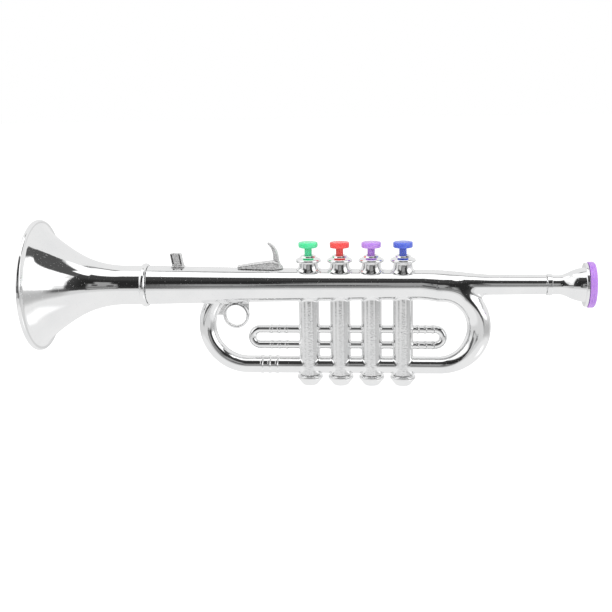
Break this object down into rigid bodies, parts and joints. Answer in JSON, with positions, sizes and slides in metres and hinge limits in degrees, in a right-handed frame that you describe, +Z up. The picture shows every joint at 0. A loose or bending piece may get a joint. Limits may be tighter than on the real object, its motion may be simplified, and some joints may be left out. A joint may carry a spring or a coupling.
{
  "type": "toy trumpet",
  "caption": "Pretend-play trumpet with a flared bell, looped tube, sprung coloured push buttons over reed valves, finger hook and mouthpiece.",
  "frame": {"origin": "on the ground plane under the middle of the bounding box, in the trumpet's mid plane", "axes": "+X along the tube from the bell to the mouthpiece, +Z up along the valves, +Y away from the player's viewer in the picture"},
  "size_m": [0.41, 0.0982, 0.1247],
  "materials": {
    "chrome": "bright chrome plating on moulded plastic",
    "worn_chrome": "duller grey plating on moulded plastic",
    "button_green": "glossy green plastic",
    "button_red": "glossy red plastic",
    "button_purple": "glossy purple plastic",
    "button_blue": "glossy blue plastic",
    "rim_purple": "satin purple plastic",
    "white_plastic": "plain white plastic",
    "rubber": "black rubber",
    "brass": "bare sheet brass",
    "steel": "spring wire"
  },
  "bodies": {
    "trumpet": {"body_front": "chrome", "body_back": "chrome", "bell": "chrome", "mouthpiece": "chrome", "mouthpiece_rim": "rim_purple", "finger_hook": "worn_chrome", "lyre_socket": "worn_chrome", "air_chest": "white_plastic", "reed_tray": "white_plastic", "valve_collar_1": "chrome", "bottom_cap_1": "chrome", "valve_spring_1": "steel", "reed_1": "brass", "valve_collar_2": "chrome", "bottom_cap_2": "chrome", "valve_spring_2": "steel", "reed_2": "brass", "valve_collar_3": "chrome", "bottom_cap_3": "chrome", "valve_spring_3": "steel", "reed_3": "brass", "valve_collar_4": "chrome", "bottom_cap_4": "chrome", "valve_spring_4": "steel", "reed_4": "brass"},
    "green_button": {"button_green": "button_green", "plunger_1": "white_plastic", "valve_pad_1": "rubber"},
    "red_button": {"button_red": "button_red", "plunger_2": "white_plastic", "valve_pad_2": "rubber"},
    "purple_button": {"button_purple": "button_purple", "plunger_3": "white_plastic", "valve_pad_3": "rubber"},
    "blue_button": {"button_blue": "button_blue", "plunger_4": "white_plastic", "valve_pad_4": "rubber"}
  },
  "joints": [
    {"name": "green_button_press", "type": "slide", "parent": "trumpet", "child": "green_button", "axis": [0, 0, -1], "range_m": [0, 0.0045], "stiffness_N_per_m": 150, "springref_m": -0.003, "deforming": ["valve_spring_1"]},
    {"name": "red_button_press", "type": "slide", "parent": "trumpet", "child": "red_button", "axis": [0, 0, -1], "range_m": [0, 0.0045], "stiffness_N_per_m": 150, "springref_m": -0.003, "deforming": ["valve_spring_2"]},
    {"name": "purple_button_press", "type": "slide", "parent": "trumpet", "child": "purple_button", "axis": [0, 0, -1], "range_m": [0, 0.0045], "stiffness_N_per_m": 150, "springref_m": -0.003, "deforming": ["valve_spring_3"]},
    {"name": "blue_button_press", "type": "slide", "parent": "trumpet", "child": "blue_button", "axis": [0, 0, -1], "range_m": [0, 0.0045], "stiffness_N_per_m": 150, "springref_m": -0.003, "deforming": ["valve_spring_4"]}
  ]
}
